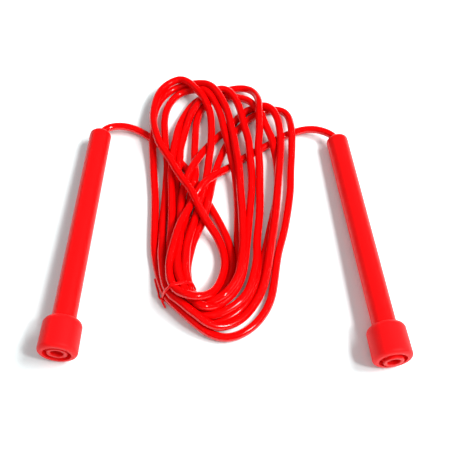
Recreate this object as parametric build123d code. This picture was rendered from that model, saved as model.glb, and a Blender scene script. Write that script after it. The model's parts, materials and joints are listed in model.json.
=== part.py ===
from build123d import *
import os
from math import atan2, cos, pi, radians, sin, tan

# A speed rope: two slim tubular handles, one on each end of a round PVC rope that is wound into a
# loose hank and held by a twist tie. Millimetres, +Z up. The handles lie on the floor (Z = 0) with
# their noses towards +Y, and the origin is on the floor under the middle of the two handles.

# ---- driving dimensions --------------------------------------------------------------------

# rope
ROPE_DIA = 4.7

# handle tube, measured along the handle's axis from its nose
HANDLE_LENGTH = 148.0
TUBE_DIA = 13.0
TUBE_WALL = 1.6
NOSE_WALL = 2.0
NOSE_ROUND = 2.2
MOUTH_GAP = 1.25         # radial gap between the rope and the hole in the nose
MOUTH_ROUND = 0.6

# soft cap pushed on the tube's rear end
CAP_LENGTH = 19.3
CAP_FRONT_DIA = 20.8
CAP_REAR_DIA = 21.2
CAP_FRONT_ROUND = 3.4
CAP_REAR_ROUND = 2.2
CAP_WEB = 2.8            # rubber between the tube's end and the groove's floor
GROOVE_WIDTH = 2.05      # ring groove in the cap's rear face, round the plug's head
GROOVE_DEPTH = 2.8

# plug through the middle of the cap, pressed in the tube's bore
PLUG_LIP = 0.5           # how far the plug's head stands out past the bore
PLUG_SHANK_LENGTH = 8.0
PLUG_WALL = 2.0          # wall round the plug's blind hole
PLUG_HOLE_DEPTH = 5.0
PLUG_EDGE_ROUND = 0.6

# what keeps the rope in the handle
WASHER_RIM_GAP = 0.4     # radial gap between the washer and the tube's bore
WASHER_THICKNESS = 1.2
WASHER_BORE_GAP = 0.25   # radial gap between the washer and the rope
STOPPER_RIM_GAP = 0.9    # radial gap between the stopper and the tube's bore
STOPPER_LENGTH = 8.0
CRIMP_DEPTH = 0.5
CRIMP_WIDTH = 1.2
ROPE_TAIL = 2.8          # rope that stands out behind the stopper
HANDLE_TRAVEL = 18.0     # how far a handle slides back before its washer meets the stopper
END_GAP = 0.3            # gap between loose pieces along the axis
ROPE_END_START = 6.9     # depth behind the nose where the rope starts to bend towards the mouth

# hank and tie
HANK_HEIGHT = 11.6
HANK_EDGE_ROUND = 2.0
TIE_WIRE_DIA = 0.5
TIE_COVER_DIA = 1.3
TIE_CORNER_ROUND = 3.0
TIE_PROUD = 0.1          # how far the tie stands proud of the hank's top
TIE_CHANNEL_GAP = 0.1    # gap on each side of the tie in the channel that it pulls into the hank

# ---- layout --------------------------------------------------------------------------------

SIDES = {
    "left": {"mouth": (-79.3, 74.4), "yaw": -2.4, "plug_proud": -0.3},
    "right": {"mouth": (66.7, 73.7), "yaw": 7.4, "plug_proud": 1.0},
}

ROPE_R = ROPE_DIA / 2
TUBE_R = TUBE_DIA / 2
BORE_R = TUBE_R - TUBE_WALL
MOUTH_R = ROPE_R + MOUTH_GAP
CAP_START = HANDLE_LENGTH - CAP_LENGTH
TUBE_END = HANDLE_LENGTH - GROOVE_DEPTH - CAP_WEB
PLUG_HEAD_R = BORE_R + PLUG_LIP
STOPPER_R = BORE_R - STOPPER_RIM_GAP
WASHER_START = NOSE_WALL + END_GAP
STOPPER_START = WASHER_START + WASHER_THICKNESS + HANDLE_TRAVEL + END_GAP
ROPE_END = STOPPER_START + STOPPER_LENGTH + ROPE_TAIL

# the nose's face is the ring between the mouth and the tube's outside, and it limits both fillets
NOSE_FACE = TUBE_R - MOUTH_R
NOSE_FILLET = min(NOSE_ROUND, 0.76 * NOSE_FACE)
MOUTH_FILLET = min(MOUTH_ROUND, 0.21 * NOSE_FACE)

# a handle rests on its nose and on the cap, so its axis climbs a little towards the cap
CAP_FLARE = (CAP_REAR_DIA - CAP_FRONT_DIA) / 2 / CAP_LENGTH
CAP_CONTACTS = (CAP_START + CAP_FRONT_ROUND, HANDLE_LENGTH - CAP_REAR_ROUND)
TILT = max(
    atan2(CAP_FRONT_DIA / 2 + CAP_FLARE * (along - CAP_START) - TUBE_R, along - NOSE_FILLET)
    for along in CAP_CONTACTS
)
MOUTH_HEIGHT = TUBE_R * cos(TILT) - NOSE_FILLET * sin(TILT)

# The rope's free run from each handle to the hank: bends as (x, y, height of the rope's underside).
# The first bend lies on the handle's axis, just inside the mouth, and is worked out below.
LEAD_POINTS = {
    "left": [(-75.1, 79.9, 3.9), (-66.0, 82.2, 2.7), (-55.6, 79.7, 1.0), (-46.0, 72.5, 0.0)],
    "right": [(61.8, 79.1, 3.9), (52.4, 83.0, 2.7), (42.2, 82.0, 1.0), (31.5, 76.6, 0.0)],
}
FIRST_BEND = 0.0         # depth of the first bend behind the nose's face

# Outline of the wound hank seen from above, and the two gaps that the strands leave open in it
HANK_OUTLINE = [
    (-49.5, 91.0), (-47.0, 112.0), (-33.0, 124.0), (-8.0, 119.5), (14.5, 114.5), (33.0, 102.0),
    (40.5, 81.0), (38.5, 34.0), (31.0, -9.0), (22.0, -43.0), (2.0, -59.0), (-19.0, -52.5),
    (-35.5, -36.5), (-42.5, -4.0), (-45.5, 31.0), (-48.5, 61.0),
]
LOWER_GAP = [(-14.0, 7.0), (-18.8, -7.0), (-18.6, -24.0), (-12.5, -34.0), (-6.6, -27.0), (-5.0, -11.0)]
MIDDLE_GAP = [(-6.0, 27.0), (1.5, 43.0), (2.6, 25.0), (0.0, 9.0)]

# The tie goes round the strands between the hank's lower left edge and its lower gap, and its two
# ends are twisted together at the left, with a short tail each way
TIE_LEFT = (-37.0, -37.4)
TIE_RIGHT = (-16.4, -29.6)
TIE_TAIL_ENDS = [(-42.5, -27.0, 2.2), (-38.5, -46.0, 3.4)]


def handle_axis(side):
    """Unit vector along a handle's axis, from its nose to its cap."""
    yaw = radians(SIDES[side]["yaw"])
    return Vector(sin(yaw) * cos(TILT), -cos(yaw) * cos(TILT), sin(TILT))


def handle_plane(side):
    """Plane at a handle's mouth whose normal runs down the handle towards the cap."""
    x, y = SIDES[side]["mouth"]
    yaw = radians(SIDES[side]["yaw"])
    return Plane(origin=(x, y, MOUTH_HEIGHT), x_dir=(cos(yaw), sin(yaw), 0), z_dir=handle_axis(side))


def ring(outer_radius, inner_radius, start, end):
    """A round tube about Z from start to end, or a solid cylinder if the inner radius is 0."""
    section = Circle(outer_radius)
    if inner_radius > 0:
        section -= Circle(inner_radius)
    return Pos(0, 0, start) * extrude(section, end - start)


def round_edges(part, height, radius, size):
    """Fillet the part's circular edge about Z at a height and a radius."""
    edges = [
        edge for edge in part.edges().filter_by(GeomType.CIRCLE)
        if abs(edge.center().Z - height) < 1e-4 and abs(edge.radius - radius) < 1e-4
    ]
    return fillet(edges, size)


def make_tube():
    tube = ring(TUBE_R, 0, 0, TUBE_END)
    tube -= ring(BORE_R, 0, NOSE_WALL, TUBE_END)
    tube -= ring(MOUTH_R, 0, 0, NOSE_WALL)
    tube = round_edges(tube, 0, TUBE_R, NOSE_FILLET)
    return round_edges(tube, 0, MOUTH_R, MOUTH_FILLET)


def make_cap():
    front = CAP_FRONT_DIA / 2
    rear = CAP_REAR_DIA / 2
    cap = Pos(0, 0, CAP_START) * Part(Solid.make_cone(front, rear, CAP_LENGTH).wrapped)
    cap = round_edges(cap, CAP_START, front, CAP_FRONT_ROUND)
    cap = round_edges(cap, HANDLE_LENGTH, rear, CAP_REAR_ROUND)
    cap -= ring(TUBE_R, 0, CAP_START, TUBE_END)
    cap -= ring(PLUG_HEAD_R, 0, TUBE_END, HANDLE_LENGTH)
    cap -= ring(PLUG_HEAD_R + GROOVE_WIDTH, 0, HANDLE_LENGTH - GROOVE_DEPTH, HANDLE_LENGTH)
    return cap


def make_plug(proud):
    """Stepped plug with a blind hole; its head's shoulder meets the tube's end unless it stands out."""
    end = HANDLE_LENGTH + proud
    shoulder = TUBE_END + max(proud, 0)
    plug = ring(PLUG_HEAD_R, 0, shoulder, end)
    plug -= ring(PLUG_HEAD_R - PLUG_WALL, 0, end - PLUG_HOLE_DEPTH, end)
    plug += ring(BORE_R, 0, shoulder - PLUG_SHANK_LENGTH, shoulder)
    plug = round_edges(plug, end, PLUG_HEAD_R, PLUG_EDGE_ROUND)
    return round_edges(plug, end, PLUG_HEAD_R - PLUG_WALL, PLUG_EDGE_ROUND)


def make_washer():
    rim = BORE_R - WASHER_RIM_GAP
    return ring(rim, ROPE_R + WASHER_BORE_GAP, WASHER_START, WASHER_START + WASHER_THICKNESS)


def make_stopper():
    """A barrel with a bore of the rope's size, crimped in two rings."""
    stopper = ring(STOPPER_R, ROPE_R, STOPPER_START, STOPPER_START + STOPPER_LENGTH)
    for third in (1, 2):
        crimp = STOPPER_START + STOPPER_LENGTH * third / 3 - CRIMP_WIDTH / 2
        stopper -= ring(STOPPER_R, STOPPER_R - CRIMP_DEPTH, crimp, crimp + CRIMP_WIDTH)
    return stopper


def lead_route(side):
    """A free lead's bends: from inside the nose, out of the mouth and down to the floor."""
    x, y = SIDES[side]["mouth"]
    mouth = Vector(x, y, MOUTH_HEIGHT)
    axis = handle_axis(side)
    points = [mouth + axis * ROPE_END_START, mouth + axis * FIRST_BEND]
    points += [Vector(px, py, underside + ROPE_R) for px, py, underside in LEAD_POINTS[side]]
    return points


def bend_radii(points):
    """The largest arc that each bend's two runs leave room for."""
    radii = []
    for before, bend, after in zip(points, points[1:], points[2:]):
        turn = (bend - before).get_angle(after - bend)
        shorter = min((bend - before).length, (after - bend).length)
        radii.append(0.45 * shorter / tan(radians(turn) / 2))
    return radii


def round_bar(path, diameter):
    """A round bar of the given diameter along a path."""
    return sweep(Plane(origin=path @ 0, z_dir=path % 0) * Circle(diameter / 2), path=path)


def make_lead(side):
    points = lead_route(side)
    radii = bend_radii(points)
    path = FilletPolyline(*points, radius=radii)
    lead = round_bar(path, ROPE_DIA)
    print(side, "lead: bend radii", [round(radius, 1) for radius in radii], "length", round(path.length, 1))
    print(side, "lead: volume over section x length", round(lead.volume / (pi * ROPE_R**2 * path.length), 4))
    return lead


def make_hank():
    """The outer shape of the wound rope, open where the strands leave gaps."""
    hank = extrude(make_face(Spline(*HANK_OUTLINE, periodic=True)), HANK_HEIGHT, dir=(0, 0, 1))
    hank = fillet(hank.edges().group_by(Axis.Z)[-1], HANK_EDGE_ROUND)
    for gap in (LOWER_GAP, MIDDLE_GAP):
        hank -= extrude(make_face(Spline(*gap, periodic=True)), HANK_HEIGHT, dir=(0, 0, 1))
    return hank


def make_tie_channel():
    """The room that the tie's loop takes from the hank: over, under and at both ends of a core."""
    left = Vector(*TIE_LEFT)
    right = Vector(*TIE_RIGHT)
    end = TIE_CORNER_ROUND + TIE_COVER_DIA / 2
    width = TIE_COVER_DIA + 2 * TIE_CHANNEL_GAP
    depth = TIE_COVER_DIA + TIE_CHANNEL_GAP
    length = (right - left).length
    aligned = (Align.MIN, Align.CENTER, Align.MIN)
    slab = Pos(-end, 0, 0) * Box(length + 2 * end, width, HANK_HEIGHT, align=aligned)
    core = Pos(end, 0, depth) * Box(length - 2 * end, width, HANK_HEIGHT + TIE_PROUD - 2 * depth, align=aligned)
    return Plane(origin=left, x_dir=right - left, z_dir=(0, 0, 1)).location * (slab - core)


def make_tie(diameter):
    """The tie's loop round the strands and its two tails, as a bar of the given diameter."""
    low = TIE_COVER_DIA / 2
    high = HANK_HEIGHT + TIE_PROUD - TIE_COVER_DIA / 2
    corners = [(*TIE_LEFT, low), (*TIE_RIGHT, low), (*TIE_RIGHT, high), (*TIE_LEFT, high)]
    tie = round_bar(FilletPolyline(*corners, radius=TIE_CORNER_ROUND, close=True), diameter)
    for tail_end, side_step in zip(TIE_TAIL_ENDS, (-1, 1)):
        root = (*TIE_LEFT, (low + high + side_step * TIE_COVER_DIA) / 2)
        tie += round_bar(Line(root, tail_end), diameter)
    return tie


def build():
    """Every piece of the rope where it lies, by node name."""
    tie = make_tie(TIE_COVER_DIA)
    wire = make_tie(TIE_WIRE_DIA)
    hank = make_hank() - make_tie_channel()
    nodes = {"rope_hank": hank, "twist_tie_cover": tie - wire, "twist_tie_wire": wire}
    for side in SIDES:
        place = handle_plane(side).location
        handle = {
            "handle_tube": make_tube(),
            "end_cap": make_cap(),
            "end_plug": make_plug(SIDES[side]["plug_proud"]),
            "stop_washer": make_washer(),
            "rope_stopper": make_stopper(),
            "rope_end": ring(ROPE_R, 0, ROPE_END_START, ROPE_END),
        }
        for name, piece in handle.items():
            nodes[f"{side}_{name}"] = place * piece
        nodes[f"{side}_rope_lead"] = make_lead(side) - hank
    return nodes


os.makedirs("parts", exist_ok=True)
for name, piece in build().items():
    export_step(piece, f"parts/{name}.step")
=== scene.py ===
import json
import math

import bmesh
import bpy
import numpy as np
from mathutils import Matrix, Vector


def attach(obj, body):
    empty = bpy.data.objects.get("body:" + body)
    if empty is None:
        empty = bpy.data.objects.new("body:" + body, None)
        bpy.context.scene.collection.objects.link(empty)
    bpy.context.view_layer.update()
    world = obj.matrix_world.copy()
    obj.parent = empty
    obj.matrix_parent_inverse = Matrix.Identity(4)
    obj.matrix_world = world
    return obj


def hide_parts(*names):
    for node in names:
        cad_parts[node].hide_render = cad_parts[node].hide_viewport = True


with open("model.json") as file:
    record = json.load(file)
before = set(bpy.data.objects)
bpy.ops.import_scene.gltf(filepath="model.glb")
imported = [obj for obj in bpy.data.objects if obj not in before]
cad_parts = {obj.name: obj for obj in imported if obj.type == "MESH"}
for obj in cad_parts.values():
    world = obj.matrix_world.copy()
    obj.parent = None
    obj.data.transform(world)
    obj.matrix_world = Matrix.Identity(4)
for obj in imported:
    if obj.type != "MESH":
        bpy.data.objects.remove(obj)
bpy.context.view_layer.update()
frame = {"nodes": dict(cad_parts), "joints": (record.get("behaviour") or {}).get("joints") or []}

MM = 0.001

# ---- sizes, in millimetres unless a comment says otherwise -----------------------------------

ROPE_DIA = 4.7
ROPE_R = ROPE_DIA / 2
ROPE_END_START = 6.9        # depth behind the nose where the rope's hidden end begins

# the two ends, on the floor, of the line across the strands that the tie closes round
TIE_LEFT = Vector((-35.0, -37.0, 0.0))
TIE_RIGHT = Vector((-17.0, -30.5, 0.0))
TIE_WIDTH = 1.9
TIE_THICKNESS = 0.7
TIE_WIRE_DIA = 1.1          # the tie's ridge over its wire, and its twisted ends
TIE_RIDGE_WIDTH = 0.32      # half the width of that ridge where it is about a third as high
TIE_REACH = 14.0            # how far from its middle the tie can hold a strand
TIE_LIFT_SPREAD = 4.0       # how far along the strands the strip under them lifts them
TIE_SPACING = 0.6           # between the points of the band's ring
TIE_WIRE_SPACING = 0.4      # between the points of a twisted end
TIE_TWIST_WAY = np.array((0.25, -1.0, -0.35))
TIE_TWIST_DROP = 0.6        # how far under the band's left edge the twist begins
TIE_TWIST_LENGTH = 1.8
TIE_TWIST_TURNS = 1.0
TIE_TWIST_RADIUS = TIE_WIRE_DIA * 0.48
TIE_TWIST_STEPS = 12
# each tail's points after the twist
TIE_TAILS = [
    [(-33.4, -40.4, 2.6), (-32.6, -42.0, 2.2)],
    [(-36.3, -35.4, 1.4), (-37.2, -32.0, 1.2), (-38.6, -27.5, 1.0), (-39.8, -23.5, 1.0)],
]

# ---- the rope's route ------------------------------------------------------------------------

# the free leads, as (x, y, height of the rope's underside), the same points as in the CAD model
LEAD_POINTS = {
    "left": [(-75.1, 79.9, 3.9), (-66.0, 82.2, 2.7), (-55.6, 79.7, 1.0), (-46.0, 72.5, 0.0)],
    "right": [(61.8, 79.1, 3.9), (52.4, 83.0, 2.7), (42.2, 82.0, 1.0), (31.5, 76.6, 0.0)],
}

# Where each turn passes the tie: how far along it from its left end, and the layer there. The
# first is where the left lead's run ends, and the last is where the right lead's run starts.
TIE_SLOTS = [
    (16.2, 0.0), (2.8, 0.0), (12.6, 0.9), (4.0, 0.9), (11.9, 0.0), (7.3, 0.0), (8.3, 0.9), (16.4, 0.95),
    (6.6, 1.75),
]

# What each turn does between two passes of the tie, as (x, y, layer). Layer 0 lies on the floor,
# and each layer more is one rope higher. The first run comes from the left lead and the last one
# goes to the right lead; the turns between go up on the left, over the top and down on the right.
RUNS = [
    # from the left lead, across under all the turns
    [(-39, 66, 0), (-31, 58, 0), (-25, 51, 0), (-18, 39, 0), (-10, 24, 0), (-5, 14, 0), (-1, 5, 0),
     (2, -3, 0), (4, -10, 0), (4, -16, 0), (3, -23, 0), (0, -30, 0), (-5, -35, 0), (-10, -38, 0),
     (-15, -38.5, 0)],
    # rises to the right under the others and comes down as the outermost strand
    [(-21.5, -24, 0), (-22, -14, 0), (-19, 1, 0), (-16, 8, .5), (-13, 18, 1), (-11, 32, .5),
     (-9, 45, 0), (-6, 57, 0), (-3, 66, 0), (1, 76, 0), (6, 83, 0), (11, 90, 0), (16, 95, 0),
     (21, 98, 0), (26, 100, 0), (31, 100, 0), (36, 97, 0), (38, 91, .3), (39, 78, 1), (39, 67, .3),
     (38, 53, 0), (37, 34, 0), (33, 9, 0), (29, -7, 0), (26.8, -23, 0), (24.5, -36, 0),
     (19, -47, 0), (11, -55, 0), (1, -59, 0), (-8.5, -56.8, 0), (-17.8, -50.5, 0),
     (-25.5, -42.8, 0)],
    # leftmost strand, then the second one from the inside on the right
    [(-38, -20, 0), (-41, -6, 0), (-42, 11, 0), (-43, 29, 0), (-45, 47, 0), (-46, 58, .5),
     (-47, 66, 1), (-47, 77, .7), (-48, 92, 0), (-46, 103, 0), (-41, 112, 0), (-34, 117, 0),
     (-26, 118, .5), (-19, 116, 1), (-13, 113, 1), (-9, 108, 1), (-5, 102, 1), (-1, 93, 1),
     (1, 82, 1.5), (3, 70, 1.5), (5, 57, 1.8), (6.5, 47, 1.2), (7.4, 32, 1), (8.3, 20, 1),
     (8.8, 7, 1), (9, -7, 1), (8, -17, 1), (7, -25, 1), (3, -33, 1), (-2, -39, 1), (-8, -43, 1),
     (-15, -43, 1), (-21, -39, 1)],
    # rises to the right and comes down as the second strand from the outside
    [(-27, -21, 1), (-26.5, -7, .8), (-27, 11, .2), (-27, 25, .2), (-26, 35, .5), (-24, 41, 1.4),
     (-21, 49, 1.5), (-18, 57, 1.2), (-14, 67, .1), (-9, 74, 0), (-4, 80, 0), (1, 86, 0),
     (6, 93, 0), (11, 99, 0), (17, 101, .5), (22, 101, .8), (26, 99, 1), (29, 94, 1), (31, 87, .7),
     (32, 73, 1.5), (31.5, 62, 1), (29.8, 41, 1), (28, 20, 1), (25.8, 3, .9), (23.6, -12, .4),
     (21, -27, 0), (16, -38, 0), (10, -47, 0), (1, -53, 0), (-8, -54, 0), (-17, -47.5, .5),
     (-25, -41, .6)],
    # second strand on the left, then the innermost on the right
    [(-35.2, -21, .8), (-36.6, -7, .7), (-37.3, 11, .3), (-37, 29, 0), (-37, 43, 0), (-37, 56, .7),
     (-39, 65, 1), (-40, 76, .5), (-41, 88, 0), (-40, 99, 0), (-36, 108, 0), (-30, 113, 0),
     (-23, 114, .5), (-17, 111, 1), (-12, 107, 1), (-8, 99, 1), (-5, 90, 1), (-3, 79, 1),
     (0, 68, 1), (2, 56, 1.5), (4, 49, .8), (5.2, 37, 0), (6, 23, 0), (6, 9, 0), (6, -3, 0),
     (7, -12, 0), (6, -21, 0), (4, -29, 0), (-1, -36, 0), (-7, -40, 0), (-12, -42, 0),
     (-18, -40, 0)],
    # straight up in the middle, then under the second strand's top to the right
    [(-23.5, -18, 1), (-24, -5, .4), (-24, 8, 0), (-23, 22, .1), (-21, 35, .6), (-20, 46, .6),
     (-21, 59, .3), (-21, 74, 0), (-21, 86, 0), (-19, 96, 0), (-16, 103, 0), (-11, 108, 0),
     (-5, 110, 0), (2, 110, 0), (7, 108, .2), (11, 106, .5), (16, 100, .6), (20, 93, .4),
     (23, 84, .2), (27, 71, 1), (29, 61, .5), (30, 46, .2), (29, 30, .1), (26, 15, 0), (23, 0, 0),
     (20, -14, 0), (17, -25, 0), (13, -36, 0), (6, -44, 0), (-2, -49, 0), (-11, -51, 0),
     (-19, -47, 0), (-26, -40, 0)],
    # third strand on the left, then the middle one on the right
    [(-31, -18, 0), (-32, -5, 0), (-32, 11, 0), (-33, 29, 0), (-34, 43, 0), (-34, 53, .9),
     (-33, 66, .7), (-32, 81, 0), (-29, 92, 0), (-25, 101, 0), (-19, 108, 0), (-12, 112, 0),
     (-5, 114.6, 0), (1, 116.4, .2), (8, 117, .5), (14.5, 113.5, 1), (18, 104, 1.5),
     (18.5, 93.5, 1.5), (19, 80, 1), (18, 66, 1), (19, 55, .2), (19, 37, 0), (19, 23, 0),
     (18, 10, 0), (17, 0, 0), (17, -12, 0), (15, -23, .2), (13, -31, .5), (9, -38, 0), (3, -43, 0),
     (-4, -47, 0), (-11, -48, 0), (-18, -44, 0), (-24, -39, 0)],
    # fourth strand on the left, then the third one from the inside on the right
    [(-28, -18, 0), (-29, -5, 0), (-29, 11, 0), (-30, 29, 0), (-31, 43, 0), (-30, 52, .9),
     (-30, 65, .5), (-28, 78, .1), (-26, 89, .1), (-22, 98, .1), (-17, 106, .1), (-11, 111, .5),
     (-6, 114, .7), (0, 111, 1.1), (4, 104, 1.2), (7, 95, 1.2), (9, 84, 1.3), (12, 73, .7),
     (13, 60, 1), (14, 49, .5), (14, 37, .1), (13, 23, .1), (12, 9, 0), (11, -3, 0), (10, -13, .1),
     (9, -22, .5), (6, -31, .9), (2, -37, 1), (-5, -42, 1), (-11, -45, 1), (-17, -43, 1),
     (-20, -38, 1)],
    # the last turn: up the middle, over the top to the left and back across on top of everything
    [(-23, -24, 1.9), (-23, -13, 1.6), (-22, -3, 1.2), (-20, 7, .9), (-18, 17, .9), (-15, 28, 1),
     (-13.5, 35, 1), (-13, 42, .6), (-12, 56, .3), (-11, 67, 1), (-11, 81, .5), (-12, 93, .7),
     (-15, 100, 1.5), (-20, 108, 2), (-26, 115.6, 1.6), (-32, 120.2, 1), (-38, 118, 1),
     (-44, 112, 1), (-47, 103, 1), (-48, 90, 1), (-47, 80, 1.2), (-44, 69, 2), (-40, 60, 2),
     (-35, 52, 2), (-29, 41, 1.6), (-22, 30, 1.9), (-18, 22, 2.4), (-15, 16, 2.1), (-11, 10, 1.4),
     (-6, 3, .5), (-3, -4, .2), (-1, -12, .1), (-1, -19, .2), (-3, -27, .6), (-6, -35, 1),
     (-11, -40, 1.4), (-16, -41.5, 1.6), (-22, -40, 1.8), (-27, -36.8, 1.8)],
    # to the right lead, over the middle strands and under those on the right
    [(-31, -26, 1.5), (-30.6, -16, 1), (-29, -5, 1), (-27, 6, 1.2), (-23, 17, 1.2), (-19, 27, 1.2),
     (-15, 34, 2), (-10, 41, 1.6), (-5, 47, .8), (2, 54, 0), (10, 61, 0), (23, 70, 0)],
]

STEP = 3.0                  # spacing of the points that the rope is settled with
CONTROL_EVERY = 2           # every second settled point is a control point of the spline

# In each round of the settling, a point moves by these shares of the way, as (x, y, z) where there
# are three: towards the middle of its neighbours, back to its guide line, and off a near strand.
SETTLE_ROUNDS = 400
BEND_SHARE = (0.15, 0.15, 0.3)
HOME_SHARE = 0.2
PUSH_SHARE = (0.22, 0.22, 0.34)
PUSHES_A_ROUND = 3
FALL_A_ROUND = 0.06         # millimetres down
FALLING_PART = 0.8          # the part of the rounds in which it falls
PAIRS_EVERY = 10            # rounds between two searches for near strands
PAIR_REACH = 1.5 * ROPE_DIA
LEAST_APART = 4             # diameters along the rope before two points can be a pair


def joint_named(name):
    return next(joint for joint in frame["joints"] if joint["name"] == name)


def mouth_and_axis(side):
    """A handle's mouth in millimetres, and the unit vector from its nose to its cap."""
    joint = joint_named(f"{side}_handle_spin")
    return Vector(joint["pos_m"]) / MM, Vector(joint["axis"]).normalized()


def lead_route(side):
    """A free lead's points, from inside the nose to where the hank begins."""
    mouth, axis = mouth_and_axis(side)
    points = [mouth + axis * ROPE_END_START, mouth]
    return points + [Vector((x, y, underside + ROPE_R)) for x, y, underside in LEAD_POINTS[side]]


def coil_guides():
    """The guide points of all the turns, in the order of the rope."""
    along = (TIE_RIGHT - TIE_LEFT).normalized()
    guides = []
    for number, run in enumerate(RUNS):
        guides += [Vector((x, y, ROPE_R + layer * ROPE_DIA)) for x, y, layer in run]
        if number < len(TIE_SLOTS):
            offset, layer = TIE_SLOTS[number]
            guides.append(TIE_LEFT + along * offset + Vector((0, 0, ROPE_R + layer * ROPE_DIA)))
    return guides


def smooth_points(guides, step):
    """Points about a step apart on a smooth line through the guides."""
    guides = [2 * guides[0] - guides[1], *guides, 2 * guides[-1] - guides[-2]]
    points = []
    for before, start, end, after in zip(guides, guides[1:], guides[2:], guides[3:]):
        count = max(2, round((end - start).length / step * 4))
        for k in range(count):
            t = k / count
            points.append(0.5 * (
                2 * start + (end - before) * t + (2 * before - 5 * start + 4 * end - after) * t**2
                + (3 * start - before - 3 * end + after) * t**3
            ))
    fine = np.array([*points, guides[-2]])
    length = np.concatenate([[0], np.cumsum(np.linalg.norm(np.diff(fine, axis=0), axis=1))])
    wanted = np.linspace(0, length[-1], round(length[-1] / step) + 1)
    return np.stack([np.interp(wanted, length, fine[:, k]) for k in range(3)], axis=1)


def near_pairs(points, reach, apart):
    """Pairs of points closer in plan than reach that are more than apart points from each other."""
    gap = np.linalg.norm(points[:, None, :2] - points[None, :, :2], axis=2)
    first, second = np.nonzero(gap < reach)
    keep = second - first > apart
    return first[keep], second[keep]


def settle(points, held):
    """Lets the wound rope down until it rests on the floor and on itself. Held points stay."""
    points = points.copy()
    home = points[:, :2].copy()
    free = ~held
    to_tie = np.array(TIE_LEFT + TIE_RIGHT)[:2] / 2
    along = np.array((TIE_RIGHT - TIE_LEFT).normalized())[:2]
    across = np.array((-along[1], along[0]))
    apart = int(LEAST_APART * ROPE_DIA / STEP)
    for number in range(SETTLE_ROUNDS):
        if number % PAIRS_EVERY == 0:
            first, second = near_pairs(points, PAIR_REACH, apart)
            offset = (points[:, :2] - to_tie) @ across
            sideways = np.abs((points[:, :2] - to_tie) @ along)
            at_tie = np.exp(-(offset / TIE_LIFT_SPREAD) ** 2) * (sideways < TIE_REACH)
            floor = ROPE_R + TIE_THICKNESS * at_tie
        bend = np.zeros_like(points)
        bend[1:-1] = (points[:-2] + points[2:]) / 2 - points[1:-1]
        points[free] += bend[free] * BEND_SHARE
        points[free, :2] += HOME_SHARE * (home - points[:, :2])[free]
        if number < SETTLE_ROUNDS * FALLING_PART:
            points[free, 2] -= FALL_A_ROUND
        for _ in range(PUSHES_A_ROUND):
            between = points[first] - points[second]
            distance = np.maximum(np.linalg.norm(between, axis=1), 1e-6)
            overlap = np.maximum(ROPE_DIA - distance, 0)[:, None]
            push = overlap * between / distance[:, None] * PUSH_SHARE
            shift = np.zeros_like(points)
            np.add.at(shift, first, push)
            np.add.at(shift, second, -push)
            points[free] += shift[free]
            points[free, 2] = np.maximum(points[free, 2], floor[free])
    return points


def wound_rope():
    """The rope's control points in millimetres: left lead, turns and right lead."""
    left = lead_route("left")
    right = lead_route("right")[::-1]
    coil = smooth_points([left[-1], *coil_guides(), right[0]], STEP)[1:-1]
    left_run = smooth_points(left, STEP)
    right_run = smooth_points(right, STEP)
    together = np.concatenate([left_run, coil, right_run])
    held = np.ones(len(together), bool)
    held[len(left_run):len(left_run) + len(coil)] = False
    settled = settle(together, held)[~held]
    return [*left, *[Vector(point) for point in settled[::CONTROL_EVERY]], *right]


def rope_curve(points):
    """A round tube on one smooth line whose control points are the route's points."""
    curve = bpy.data.curves.new("jump_rope_cord", "CURVE")
    curve.dimensions = "3D"
    curve.resolution_u = 4
    curve.bevel_depth = ROPE_R * MM
    curve.bevel_resolution = 6
    curve.use_fill_caps = True
    spline = curve.splines.new("NURBS")
    spline.points.add(len(points) - 1)
    for control, point in zip(spline.points, points):
        control.co = (*(Vector(point) * MM), 1)
    spline.order_u = 3
    spline.use_endpoint_u = True
    spline.use_smooth = True
    rope = bpy.data.objects.new("jump_rope_cord", curve)
    bpy.context.scene.collection.objects.link(rope)
    return rope


# ---- the tie -----------------------------------------------------------------------------------


def centreline(rope):
    """The rope's own line in millimetres, read from its spline."""
    bare = rope.copy()
    bare.data = rope.data.copy()
    bare.data.bevel_depth = 0
    bpy.context.scene.collection.objects.link(bare)
    bpy.context.view_layer.update()
    line = bpy.data.meshes.new_from_object(bare.evaluated_get(bpy.context.evaluated_depsgraph_get()))
    points = np.array([vertex.co for vertex in line.vertices]) / MM
    bpy.data.objects.remove(bare)
    return points


def turns_left(start, corner, end):
    """Whether a path in the plane turns left at its corner."""
    before = np.subtract(corner, start)
    after = np.subtract(end, corner)
    return before[0] * after[1] - before[1] * after[0] > 0


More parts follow.
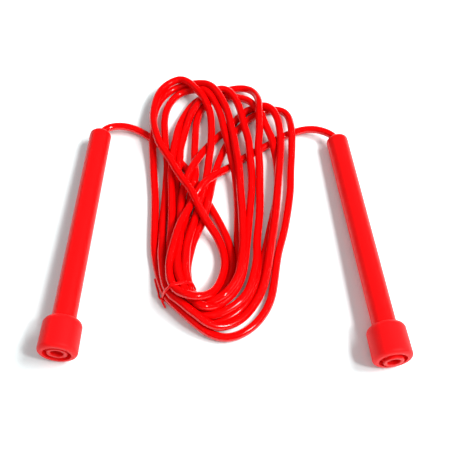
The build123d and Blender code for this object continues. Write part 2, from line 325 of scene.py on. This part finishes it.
def tight_loop(line, along, across, middle):
    """The tight loop round all the passes of the rope through the tie's plane, as a ring of points."""
    offset = (line - middle) @ across
    sideways = (line - middle) @ along
    reach = ROPE_R + TIE_THICKNESS / 2
    strand_sides = 24
    angles = np.linspace(0, 2 * math.pi, strand_sides, endpoint=False)
    around = []
    for k in np.nonzero(offset[:-1] * offset[1:] < 0)[0]:
        share = offset[k] / (offset[k] - offset[k + 1])
        place = line[k] + share * (line[k + 1] - line[k])
        if abs(sideways[k]) < TIE_REACH:
            flat = np.array(((place - middle) @ along, place[2]))
            around += [tuple(flat + reach * np.array((math.cos(a), math.sin(a)))) for a in angles]
    hull = []
    for order in (sorted(around), sorted(around, reverse=True)):
        half = []
        for point in order:
            while len(half) > 1 and not turns_left(half[-2], half[-1], point):
                half.pop()
            half.append(point)
        hull += half[:-1]
    hull = np.array([*hull, hull[0]])
    length = np.concatenate([[0], np.cumsum(np.linalg.norm(np.diff(hull, axis=0), axis=1))])
    wanted = np.linspace(0, length[-1], round(length[-1] / TIE_SPACING), endpoint=False)
    ring = np.stack([np.interp(wanted, length, hull[:, k]) for k in range(2)], axis=1)
    smoothing_rounds = 3
    for _ in range(smoothing_rounds):
        ring = (np.roll(ring, 1, axis=0) + 2 * ring + np.roll(ring, -1, axis=0)) / 4
    ring[:, 1] = np.maximum(ring[:, 1], TIE_THICKNESS / 2)
    return middle + ring[:, :1] * along + ring[:, 1:] * np.array((0, 0, 1))


def tube_faces(rings, sides, closed):
    """Quads between successive rings of points that follow each other in one list."""
    faces = []
    for ring in range(rings if closed else rings - 1):
        after = (ring + 1) % rings
        for side in range(sides):
            beside = (side + 1) % sides
            here, there = ring * sides, after * sides
            faces.append((here + side, here + beside, there + beside, there + side))
    return faces


def band(ring, across):
    """A flat plastic strip along a ring, with a ridge where its wire runs. Returns points and faces."""
    sides = 16
    points = []
    for before, here, after in zip(np.roll(ring, 1, axis=0), ring, np.roll(ring, -1, axis=0)):
        outward = np.cross(after - before, across)
        outward /= np.linalg.norm(outward)
        for side in range(sides):
            angle = 2 * math.pi * side / sides
            wide = math.cos(angle) * TIE_WIDTH / 2
            shape = math.exp(-(wide / TIE_RIDGE_WIDTH) ** 2)
            ridge = shape * (TIE_WIRE_DIA - TIE_THICKNESS) * (math.sin(angle) > 0)
            thick = math.sin(angle) * TIE_THICKNESS / 2 + ridge
            points.append(here + across * wide + outward * thick)
    return points, tube_faces(len(ring), sides, True)


def wire(line):
    """A round wire along a line of points, with rounded ends. Returns points and faces."""
    sides = 12
    end_shares = (0.55, 0.9, 1)     # of the full radius, at the end and next to it
    line = smooth_points([Vector(point) for point in line], TIE_WIRE_SPACING)
    points = []
    for k, here in enumerate(line):
        forward = Vector(line[min(k + 1, len(line) - 1)] - line[max(k - 1, 0)]).normalized()
        first = forward.orthogonal() if k == 0 else first - forward * first.dot(forward)
        first.normalize()
        second = forward.cross(first)
        from_end = min(k, len(line) - 1 - k)
        radius = TIE_WIRE_DIA / 2 * end_shares[min(from_end, 2)]
        for side in range(sides):
            angle = 2 * math.pi * side / sides
            outward = np.array(first * math.cos(angle) + second * math.sin(angle))
            points.append(np.array(here) + radius * outward)
    faces = tube_faces(len(line), sides, False)
    faces.append(tuple(range(sides)))
    faces.append(tuple(len(points) - 1 - side for side in range(sides)))
    return points, faces


def clear_of(points, line, distance):
    """The points, each moved straight out from the rope's line where it is nearer than a distance."""
    points = np.array(points, float)
    rounds = 8
    way_shares = (1, 1, 0.3)        # mostly sideways, so that an end stays low
    for _ in range(rounds):
        for k, point in enumerate(points):
            away = point - line
            gap = np.linalg.norm(away, axis=1)
            near = gap.argmin()
            if gap[near] < distance:
                points[k] += away[near] / gap[near] * (distance - gap[near]) * way_shares
        points[:, 2] = np.maximum(points[:, 2], TIE_WIRE_DIA / 2)
    return points


def make_tie(rope):
    """The twist tie: its tight band, the ends twisted together at the left, and their two tails."""
    line = centreline(rope)
    along = np.array((TIE_RIGHT - TIE_LEFT).normalized())
    across = np.array((-along[1], along[0], 0.0))
    middle = np.array(TIE_LEFT + TIE_RIGHT) / 2
    ring = tight_loop(line, along, across, middle)
    left = ring[((ring - middle) @ along).argmin()]
    root = left - np.array((0, 0, TIE_TWIST_DROP))
    away = TIE_TWIST_WAY / np.linalg.norm(TIE_TWIST_WAY)
    side = np.cross(away, (0, 0, 1))
    lift = np.cross(side, away)
    points, faces = band(ring, across)
    for number, tail in enumerate(TIE_TAILS):
        twist = []
        for step in range(TIE_TWIST_STEPS + 1):
            angle = math.pi * (number + 2 * TIE_TWIST_TURNS * step / TIE_TWIST_STEPS)
            centre = root + away * (TIE_TWIST_LENGTH * step / TIE_TWIST_STEPS)
            outward = side * math.cos(angle) + lift * math.sin(angle)
            twist.append(centre + TIE_TWIST_RADIUS * outward)
        path = clear_of([*twist, *tail], line, ROPE_R + TIE_WIRE_DIA / 2)
        more_points, more_faces = wire(path)
        faces += [tuple(corner + len(points) for corner in face) for face in more_faces]
        points += more_points
    mesh = bpy.data.meshes.new("twist_tie")
    mesh.from_pydata([tuple(float(c) * MM for c in point) for point in points], [], faces)
    mesh.validate()
    mesh.shade_smooth()
    tie = bpy.data.objects.new("twist_tie", mesh)
    bpy.context.scene.collection.objects.link(tie)
    bm = bmesh.new()
    bm.from_mesh(mesh)
    bmesh.ops.recalc_face_normals(bm, faces=bm.faces)
    bm.to_mesh(mesh)
    bm.free()
    return tie


# ---- materials -------------------------------------------------------------------------------

NOISE_DETAIL = 5
TINT_STOPS = (0.3, 0.7)             # noise values where the darkest and the full colour begin
ROUGHNESS_SPREAD = (0.85, 1.15)     # shares of a material's roughness
GRAIN_DEPTH = 0.0002                # metres


def plain_material(name, color, roughness, noise_scale, bump, spread=0.06, **sockets):
    """A procedural plastic, rubber or metal: fine uneven colour, roughness and surface."""
    material = bpy.data.materials.new(name)
    material.use_nodes = True
    nodes, links = material.node_tree.nodes, material.node_tree.links
    shader = nodes["Principled BSDF"]
    place = nodes.new("ShaderNodeTexCoord")
    noise = nodes.new("ShaderNodeTexNoise")
    noise.inputs["Scale"].default_value = noise_scale
    noise.inputs["Detail"].default_value = NOISE_DETAIL
    links.new(place.outputs["Object"], noise.inputs["Vector"])
    tint = nodes.new("ShaderNodeValToRGB")
    tint.color_ramp.elements[0].position = TINT_STOPS[0]
    tint.color_ramp.elements[1].position = TINT_STOPS[1]
    tint.color_ramp.elements[0].color = (*[c * (1 - spread) for c in color], 1)
    tint.color_ramp.elements[1].color = (*color, 1)
    links.new(noise.outputs["Fac"], tint.inputs["Fac"])
    links.new(tint.outputs["Color"], shader.inputs["Base Color"])
    rough = nodes.new("ShaderNodeMapRange")
    rough.inputs["To Min"].default_value = roughness * ROUGHNESS_SPREAD[0]
    rough.inputs["To Max"].default_value = roughness * ROUGHNESS_SPREAD[1]
    links.new(noise.outputs["Fac"], rough.inputs["Value"])
    links.new(rough.outputs["Result"], shader.inputs["Roughness"])
    grain = nodes.new("ShaderNodeBump")
    grain.inputs["Strength"].default_value = bump
    grain.inputs["Distance"].default_value = GRAIN_DEPTH
    links.new(noise.outputs["Fac"], grain.inputs["Height"])
    links.new(grain.outputs["Normal"], shader.inputs["Normal"])
    for socket, value in sockets.items():
        shader.inputs[socket.replace("_", " ")].default_value = value
    return material


def paint(piece, material):
    piece.data.materials.clear()
    piece.data.materials.append(material)


# ---- stage: floor, light, camera ---------------------------------------------------------------

WORLD_LIGHT = 0.42
WORLD_SEEN_IN_GLOSS = 0.03
FLOOR_SIZE = 6                      # metres

CAMERA_PITCH = math.radians(57.78)  # below level
CAMERA_ROLL = math.radians(1.16)
CAMERA_VIEW = math.radians(34.02)
CAMERA_PLACE = (-0.0013, -0.2154, 0.3629)


def area_light(name, place, target, size, power, in_gloss=False):
    """A square lamp of a size in metres and a power in watts, turned to a target."""
    light = bpy.data.lights.new(name, "AREA")
    light.shape = "RECTANGLE"
    light.size = light.size_y = size
    light.energy = power
    lamp = bpy.data.objects.new(name, light)
    lamp.location = place
    lamp.visible_glossy = in_gloss
    lamp.rotation_mode = "QUATERNION"
    lamp.rotation_quaternion = (Vector(target) - Vector(place)).to_track_quat("-Z", "Y")
    bpy.context.scene.collection.objects.link(lamp)


def studio_world():
    """Even light from all round that glossy surfaces see much darker, as a studio's walls are."""
    world = bpy.data.worlds.new("studio")
    world.use_nodes = True
    nodes, links = world.node_tree.nodes, world.node_tree.links
    background = nodes["Background"]
    background.inputs["Color"].default_value = (0.98, 0.98, 1.0, 1)
    rays = nodes.new("ShaderNodeLightPath")
    strength = nodes.new("ShaderNodeMapRange")
    strength.inputs["To Min"].default_value = WORLD_LIGHT
    strength.inputs["To Max"].default_value = WORLD_SEEN_IN_GLOSS
    links.new(rays.outputs["Is Glossy Ray"], strength.inputs["Value"])
    links.new(strength.outputs["Result"], background.inputs["Strength"])
    bpy.context.scene.world = world


def make_stage():
    bpy.context.scene.view_settings.view_transform = "Standard"
    studio_world()
    area_light("key_light", place=(0.85, 0.22, 0.85), target=(0, 0.02, 0), size=0.7, power=25)
    area_light(
        "streak_light", place=(0.6, -0.3, 0.85), target=(0, 0.02, 0), size=0.16, power=5, in_gloss=True,
    )
    area_light("fill_light", place=(-0.3, -0.6, 1.3), target=(0, 0, 0), size=1.0, power=3)
    bpy.ops.mesh.primitive_plane_add(size=FLOOR_SIZE)
    floor = bpy.context.object
    floor.name = "floor"
    floor_paper = plain_material(
        "floor_paper", (0.84, 0.92, 0.92), 0.9, 900, 0.05, spread=0.02, Specular_IOR_Level=0.1,
    )
    paint(floor, floor_paper)


def make_camera():
    """The camera stands in front of the caps and looks down along +Y, turned a little on its axis."""
    forward = Vector((0, math.cos(CAMERA_PITCH), -math.sin(CAMERA_PITCH)))
    level_up = Vector((0, math.sin(CAMERA_PITCH), math.cos(CAMERA_PITCH)))
    level_right = Vector((1, 0, 0))
    right = level_right * math.cos(CAMERA_ROLL) + level_up * math.sin(CAMERA_ROLL)
    up = level_up * math.cos(CAMERA_ROLL) - level_right * math.sin(CAMERA_ROLL)
    data = bpy.data.cameras.new("camera")
    data.angle = CAMERA_VIEW
    data.clip_start = 0.01
    camera = bpy.data.objects.new("camera", data)
    camera.matrix_world = Matrix((right, up, -forward)).transposed().to_4x4()
    camera.location = CAMERA_PLACE
    bpy.context.scene.collection.objects.link(camera)
    bpy.context.scene.camera = camera


# ---- build -------------------------------------------------------------------------------------

make_camera()
make_stage()

rope_pvc = plain_material("rope_pvc", (0.72, 0.0003, 0.0006), 0.13, 300, 0.03, Specular_IOR_Level=0.5)
tube_plastic = plain_material("tube_plastic", (0.87, 0.0004, 0.001), 0.42, 500, 0.03, Specular_IOR_Level=0.25)
cap_rubber = plain_material("cap_rubber", (0.86, 0.0015, 0.003), 0.55, 900, 0.12, Specular_IOR_Level=0.25)
plug_plastic = plain_material("plug_plastic", (0.8, 0.001, 0.002), 0.45, 500, 0.05, Specular_IOR_Level=0.25)
tie_plastic = plain_material("tie_plastic", (0.88, 0.001, 0.002), 0.24, 600, 0.05, Specular_IOR_Level=0.3)
metal = plain_material("bare_metal", (0.6, 0.61, 0.63), 0.35, 700, 0.1, Metallic=1.0)

rope = rope_curve(wound_rope())
paint(rope, rope_pvc)
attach(rope, "rope")
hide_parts("rope_hank", "left_rope_lead", "right_rope_lead")

NODE_MATERIALS = {
    "handle_tube": tube_plastic, "end_cap": cap_rubber, "end_plug": plug_plastic,
    "stop_washer": metal, "rope_stopper": metal, "rope_end": rope_pvc,
}
for side in ("left", "right"):
    for name, material in NODE_MATERIALS.items():
        paint(frame["nodes"][f"{side}_{name}"], material)

tie = make_tie(rope)
paint(tie, tie_plastic)
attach(tie, "rope")
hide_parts("twist_tie_cover", "twist_tie_wire")
